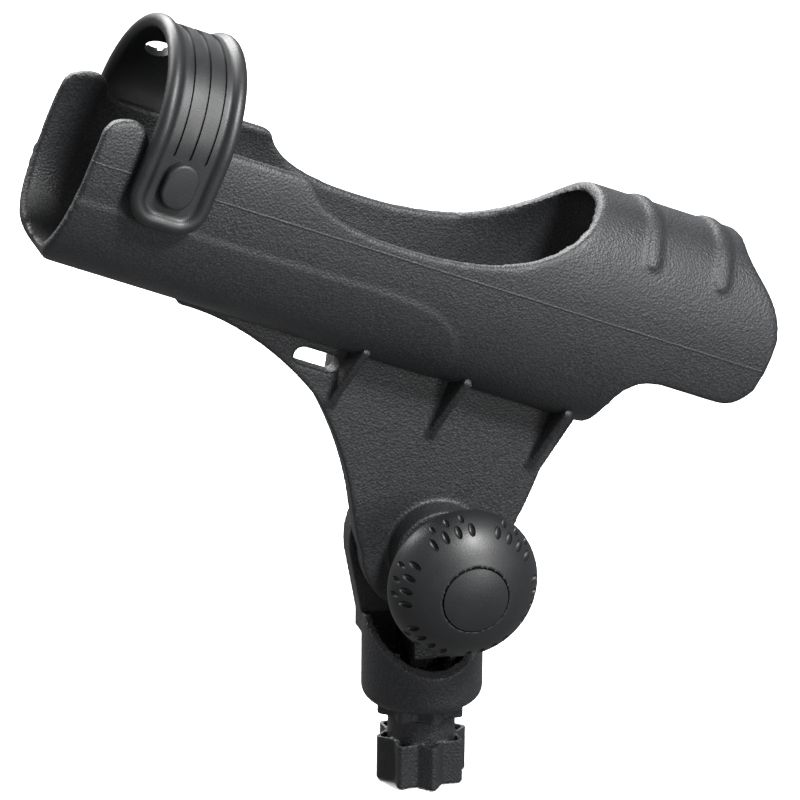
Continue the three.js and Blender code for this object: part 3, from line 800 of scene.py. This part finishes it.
# %% [markdown]
# ## Colours and one way to add a node
#
# Colours are written as the hex values a colour picker shows, and one function turns them to the
# linear values that the shader mixes. Another adds a node, sets it and links its inputs, so that
# each material below reads as a list of what it is made of.

# %% Colour and node helpers
def colour(code):
    values = [int(code[i : i + 2], 16) / 255 for i in (1, 3, 5)]
    return [v / 12.92 if v <= 0.04045 else ((v + 0.055) / 1.055) ** 2.4 for v in values] + [1]


def add(tree, kind, inputs=None, **settings):
    node = tree.nodes.new(kind)
    for name, value in settings.items():
        setattr(node, name, value)
    for socket, source in (inputs or {}).items():
        if isinstance(source, bpy.types.NodeSocket):
            tree.links.new(source, node.inputs[socket])
        else:
            node.inputs[socket].default_value = source
    return node


def blank(name):
    material = bpy.data.materials.new(name)
    material.use_nodes = True
    tree = material.node_tree
    tree.nodes.clear()
    coords = add(tree, "ShaderNodeTexCoord").outputs["Object"]
    return material, tree, coords


def close(tree, shader):
    add(tree, "ShaderNodeOutputMaterial", {"Surface": shader.outputs[0]})


# %% [markdown]
# ## Glass-filled nylon
#
# The tube, web, collar and spigot are glass-filled nylon 6, moulded in a spark-eroded tool. The
# short glass fibres lie just under the skin, so the black is mottled, and the tool's texture makes
# a fine orange-peel grain of about half a millimetre. It is drawn at 0.8 mm so that it still shows
# in the render. The grain scatters the gloss: roughness is high and varies from place to place.
# The tube's mould parts at its widest line, which leaves a hairline ridge on its sides.

# %% Glass-filled nylon
GRAIN = 1 / 0.0008  # the tool's texture, drawn at 0.8 mm
CLOUD = 1 / 0.014  # patches of richer and poorer fibre, about 14 mm


def filled_nylon(name, parting=False):
    material, tree, coords = blank(name)
    grain = add(
        tree, "ShaderNodeTexNoise",
        {"Vector": coords, "Scale": GRAIN, "Detail": 3, "Roughness": 0.6},
    )
    cloud = add(
        tree, "ShaderNodeTexNoise",
        {"Vector": coords, "Scale": CLOUD, "Detail": 4, "Roughness": 0.55},
    )
    fibre = add(tree, "ShaderNodeTexVoronoi", {"Vector": coords, "Scale": GRAIN * 0.9})
    mottle = add(
        tree, "ShaderNodeMapRange",
        {"Value": grain.outputs["Fac"], "From Min": 0.4, "From Max": 0.64,
         "To Min": 0, "To Max": 1},
    )
    skin_tone = add(
        tree, "ShaderNodeMix",
        {"Factor": mottle.outputs[0], "A": colour("#0d0e0f"), "B": colour("#333437")},
        data_type="RGBA",
    )
    tone = add(
        tree, "ShaderNodeMix",
        {"Factor": cloud.outputs["Fac"], "A": skin_tone.outputs["Result"], "B": colour("#1e1f21")},
        data_type="RGBA",
    )
    rough = add(
        tree, "ShaderNodeMapRange",
        {"Value": cloud.outputs["Fac"], "From Min": 0.3, "From Max": 0.7,
         "To Min": 0.47, "To Max": 0.58},
    )
    height = add(
        tree, "ShaderNodeMath",
        {0: grain.outputs["Fac"], 1: fibre.outputs["Distance"]}, operation="ADD",
    )
    bump = add(
        tree, "ShaderNodeBump",
        {"Height": height.outputs[0], "Strength": 0.8, "Distance": 0.0002},
    )
    if parting:
        level = add(
            tree, "ShaderNodeVectorMath", {0: coords, 1: UP}, operation="DOT_PRODUCT"
        ).outputs["Value"]
        rise = add(
            tree, "ShaderNodeMath",
            {0: level, 1: TUBE_ORIGIN.dot(Vector(UP)) * MM}, operation="SUBTRACT",
        )
        near = add(tree, "ShaderNodeMath", {0: rise.outputs[0]}, operation="ABSOLUTE")
        line = add(
            tree, "ShaderNodeMapRange",
            {"Value": near.outputs[0], "From Min": 0.0001, "From Max": 0.0005,
             "To Min": 1, "To Max": 0},
        )
        sides = add(tree, "ShaderNodeSeparateXYZ", {"Vector": coords})
        width = add(tree, "ShaderNodeMath", {0: sides.outputs["Y"]}, operation="ABSOLUTE")
        outside = add(
            tree, "ShaderNodeMath", {0: width.outputs[0], 1: 0.0272}, operation="GREATER_THAN"
        )
        ridge = add(
            tree, "ShaderNodeMath",
            {0: line.outputs[0], 1: outside.outputs[0]}, operation="MULTIPLY",
        )
        bump = add(
            tree, "ShaderNodeBump",
            {"Height": ridge.outputs[0], "Strength": 0.6, "Distance": 0.00025,
             "Normal": bump.outputs[0]},
        )
    close(tree, add(
        tree, "ShaderNodeBsdfPrincipled",
        {
            "Base Color": tone.outputs["Result"], "Roughness": rough.outputs[0],
            "Normal": bump.outputs[0], "IOR": 1.53,
        },
    ))
    return material


# %% [markdown]
# ## Smooth nylon and acetal
#
# The knob and the bail are handled, so their nylon has no glass in it and their tool is finer:
# the grain is shallower and the gloss tighter. The bail's buttons are acetal, a waxy plastic with
# a fine matt skin.

# %% Smooth nylon and acetal
HANDLED = 1 / 0.009  # patches that hands have made a little glossier, about 9 mm


def smooth_plastic(name, dark, light, grain_mm, depth, rough_low, rough_high, ior):
    material, tree, coords = blank(name)
    grain = add(
        tree, "ShaderNodeTexNoise", {"Vector": coords, "Scale": 1000 / grain_mm, "Detail": 2}
    )
    cloud = add(tree, "ShaderNodeTexNoise", {"Vector": coords, "Scale": HANDLED, "Detail": 3})
    tone = add(
        tree, "ShaderNodeMix",
        {"Factor": grain.outputs["Fac"], "A": colour(dark), "B": colour(light)}, data_type="RGBA",
    )
    rough = add(
        tree, "ShaderNodeMapRange",
        {"Value": cloud.outputs["Fac"], "From Min": 0.3, "From Max": 0.7,
         "To Min": rough_low, "To Max": rough_high},
    )
    bump = add(
        tree, "ShaderNodeBump",
        {"Height": grain.outputs["Fac"], "Strength": 0.4, "Distance": depth},
    )
    close(tree, add(
        tree, "ShaderNodeBsdfPrincipled",
        {"Base Color": tone.outputs["Result"], "Roughness": rough.outputs[0],
         "Normal": bump.outputs[0], "IOR": ior},
    ))
    return material


# %% [markdown]
# ## Stainless steel and brass
#
# The bolt, nuts, washers, screw and spring are stainless steel, turned or cold formed, with fine
# rings left by the tool. The thread insert in the knob is brass. Both metals keep the default
# IOR, and their colour is the metal's own reflection colour.

# %% Metals
TOOL_RINGS = 1 / 0.0006  # turning marks, drawn at 0.6 mm
STAIN = 1 / 0.006


def turned_metal(name, dark, light, rough_low, rough_high):
    material, tree, coords = blank(name)
    rings = add(
        tree, "ShaderNodeTexNoise",
        {"Vector": coords, "Scale": TOOL_RINGS, "Detail": 3, "Roughness": 0.7},
    )
    stain = add(tree, "ShaderNodeTexNoise", {"Vector": coords, "Scale": STAIN, "Detail": 3})
    tone = add(
        tree, "ShaderNodeMix",
        {"Factor": stain.outputs["Fac"], "A": colour(dark), "B": colour(light)}, data_type="RGBA",
    )
    rough = add(
        tree, "ShaderNodeMapRange",
        {"Value": rings.outputs["Fac"], "From Min": 0.3, "From Max": 0.7,
         "To Min": rough_low, "To Max": rough_high},
    )
    bump = add(
        tree, "ShaderNodeBump",
        {"Height": rings.outputs["Fac"], "Strength": 0.25, "Distance": 0.00003},
    )
    close(tree, add(
        tree, "ShaderNodeBsdfPrincipled",
        {"Base Color": tone.outputs["Result"], "Roughness": rough.outputs[0],
         "Normal": bump.outputs[0], "Metallic": 1.0},
    ))
    return material


# %% [markdown]
# ## Dressing the pieces
#
# The pieces made above get their finish here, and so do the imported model's own nodes that still
# show: the tooth rings at the joint, the bolt's head, the washer, the screw and its nut.

# %% Materials on pieces
TUBE_NYLON = filled_nylon("moulded glass-filled nylon with a parting line", parting=True)
FILLED_NYLON = filled_nylon("moulded glass-filled nylon")
SMOOTH_NYLON = smooth_plastic(
    "moulded smooth nylon", "#0f1011", "#212224", 0.6, 0.00012, 0.42, 0.52, 1.53
)
ACETAL = smooth_plastic("moulded acetal", "#121314", "#27282a", 0.6, 0.00012, 0.46, 0.56, 1.48)
STEEL = turned_metal("turned stainless steel", "#a9abae", "#c6c8ca", 0.22, 0.36)
BRASS = turned_metal("turned brass", "#b08a45", "#c9a45c", 0.25, 0.4)

finishes = {
    TUBE_NYLON: (tube,),
    FILLED_NYLON: (web, collar, spigot),
    SMOOTH_NYLON: (bail, knob, cap),
    ACETAL: (
        bpy.data.objects["bail_button_near"], bpy.data.objects["bail_button_far"],
        nodes["ear_tooth_ring"], nodes["cradle_tooth_ring"],
    ),
    STEEL: [
        nodes[name] for name in (
            "spigot_screw", "spigot_washer", "spigot_nut", "release_spring",
            "tilt_bolt", "bolt_stop_nut", "thrust_washer",
        )
    ],
    BRASS: (nodes["knob_insert"],),
}
for material, dressed in finishes.items():
    for obj in dressed:
        obj.data.materials.clear()
        obj.data.materials.append(material)

# %% [markdown]
# ## Floor, light and camera
#
# The holder stands on its spigot on a plain pale floor. A softbox behind washes the floor white,
# a soft spot high on the right draws the knob's highlight, and a weaker one in front fills the
# sides. The floor's own bounce is switched off, so the plastic stays dark below. The camera looks
# a little from the left and from above, through a long lens, so that the tube keeps its
# proportions.

# %% Floor
floor_bm = bmesh.new()
bmesh.ops.create_grid(floor_bm, x_segments=1, y_segments=1, size=8)
bmesh.ops.translate(floor_bm, vec=(0, 0, -0.0006), verts=floor_bm.verts)
floor_mesh = bpy.data.meshes.new("floor")
floor_bm.to_mesh(floor_mesh)
floor_bm.free()
floor = bpy.data.objects.new("floor", floor_mesh)
bpy.context.scene.collection.objects.link(floor)
paint, tree, coords = blank("matt white floor paint")
dust = add(tree, "ShaderNodeTexNoise", {"Vector": coords, "Scale": 3, "Detail": 2})
pale = add(
    tree, "ShaderNodeMix",
    {"Factor": dust.outputs["Fac"], "A": colour("#f6f6f6"), "B": colour("#fbfbfb")},
    data_type="RGBA",
)
close(tree, add(
    tree, "ShaderNodeBsdfPrincipled", {"Base Color": pale.outputs["Result"], "Roughness": 0.9}
))
floor_mesh.materials.append(paint)
floor.visible_diffuse = floor.visible_glossy = False  # no light thrown up on the plastic

# %% Light
def lamp(name, kind, at, toward, watts):
    data = bpy.data.lights.new(name, kind)
    data.energy = watts
    obj = bpy.data.objects.new(name, data)
    bpy.context.scene.collection.objects.link(obj)
    obj.location = at
    obj.rotation_euler = (Vector(toward) - Vector(at)).to_track_quat("-Z", "Y").to_euler()
    return data


def softbox(name, at, toward, wide, tall, watts):
    data = lamp(name, "AREA", at, toward, watts)
    data.shape = "RECTANGLE"
    data.size, data.size_y = wide, tall


def snoot(name, at, toward, radius, cone, watts):
    """A soft spot: its cone keeps the light on the object and off the floor in front of it."""
    data = lamp(name, "SPOT", at, toward, watts)
    data.shadow_soft_size, data.spot_size, data.spot_blend = radius, math.radians(cone), 0.8


softbox("floor wash", (-0.3, 1.2, 1.2), (-0.15, 0.35, 0), 1.8, 0.9, 85)
snoot("key", (0.36, -0.72, 1.0), (0.0, 0, 0.2), 0.13, 36, 100)
snoot("front fill", (0.5, -1.3, 0.45), (-0.03, 0, 0.2), 0.25, 30, 42)
world = bpy.data.worlds.new("studio")
bpy.context.scene.world = world
world.use_nodes = True
world.node_tree.nodes["Background"].inputs["Color"].default_value = colour("#f4f5f7")
world.node_tree.nodes["Background"].inputs["Strength"].default_value = 0.3
bpy.context.scene.view_settings.view_transform = "Standard"

# %% Camera
AZIMUTH, ELEVATION, ROLL = (math.radians(v) for v in (-17.3, 22.2, 0.6))
DISTANCE = 2.7
back = Vector((
    math.sin(AZIMUTH) * math.cos(ELEVATION),
    -math.cos(AZIMUTH) * math.cos(ELEVATION),
    math.sin(ELEVATION),
))
right = Vector((math.cos(AZIMUTH), math.sin(AZIMUTH), 0))
up = back.cross(right)
right, up = (
    right * math.cos(ROLL) + up * math.sin(ROLL),
    up * math.cos(ROLL) - right * math.sin(ROLL),
)
target = Vector((0, 0, 0.13)) - right * 0.00867 + up * 0.0137
lens = bpy.data.cameras.new("camera")
lens.sensor_width, lens.lens, lens.clip_end = 36, 343.2, 40
camera = bpy.data.objects.new("camera", lens)
bpy.context.scene.collection.objects.link(camera)
camera.matrix_world = place(right, up, back, target + back * DISTANCE)
bpy.context.scene.camera = camera
